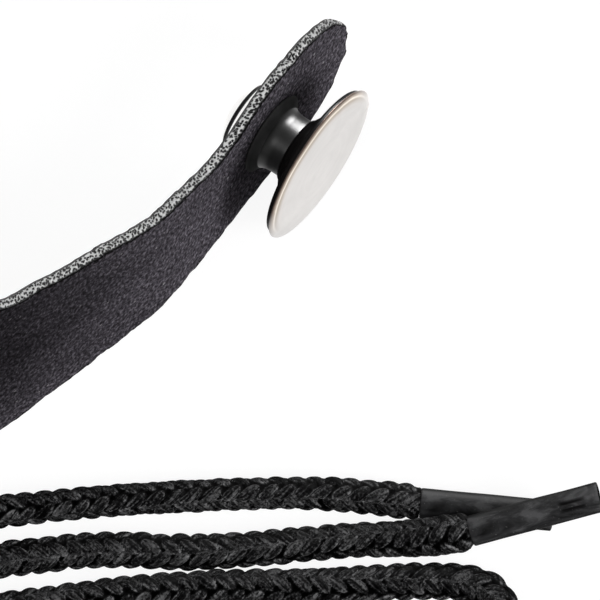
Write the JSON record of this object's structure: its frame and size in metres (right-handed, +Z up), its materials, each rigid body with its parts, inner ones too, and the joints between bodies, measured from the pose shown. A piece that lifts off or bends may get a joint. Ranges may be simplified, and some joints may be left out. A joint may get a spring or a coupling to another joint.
{
  "type": "eye patch",
  "caption": "Leather eye patch with a pressed dome, two curved arms ending in tack buttons, and a braided lace hooked on one button.",
  "frame": {"origin": "on the surface the patch stands on, under the middle of the leather's box", "axes": "+Z up, across the patch from its straight brow edge to its round cheek edge; +X along the patch towards the free button; -Y out of the dome, away from the face"},
  "size_m": [0.1933, 0.099, 0.062],
  "materials": {
    "leather": "black leather, rough suede side outward, smooth grain side inward",
    "lining": "soft black brushed lining",
    "thread": "waxed black thread",
    "lace": "black braided polyester",
    "aglet": "dark grey plastic sleeve",
    "nickel": "polished nickel",
    "black_shell": "black enamel",
    "black_neck": "glossy black enamel",
    "filler": "moulded plastic",
    "tack_metal": "bright"
  },
  "bodies": {
    "patch": {"leather_patch": "leather", "eye_lining": "lining", "lining_stitches": "thread", "short_lace_leg": "lace", "long_lace_leg": "lace", "short_leg_aglet": "aglet", "long_leg_aglet": "aglet", "right_neck": "black_neck", "right_tack": "tack_metal", "right_back_cap": "nickel", "left_neck": "black_neck", "left_tack": "tack_metal", "left_back_cap": "nickel"},
    "right_button_head": {"right_face_cap": "nickel", "right_back_shell": "black_shell", "right_head_filler": "filler"},
    "left_button_head": {"left_face_cap": "nickel", "left_back_shell": "black_shell", "left_head_filler": "filler"}
  },
  "joints": [
    {"name": "right_head_swivel", "type": "hinge", "parent": "patch", "child": "right_button_head", "pos_m": [0.07232, 0.02214, 0.01025], "axis": [0.8141, -0.5807, 0], "continuous": true},
    {"name": "left_head_swivel", "type": "hinge", "parent": "patch", "child": "left_button_head", "pos_m": [-0.07232, 0.02214, 0.01025], "axis": [-0.8141, -0.5807, 0], "continuous": true}
  ]
}
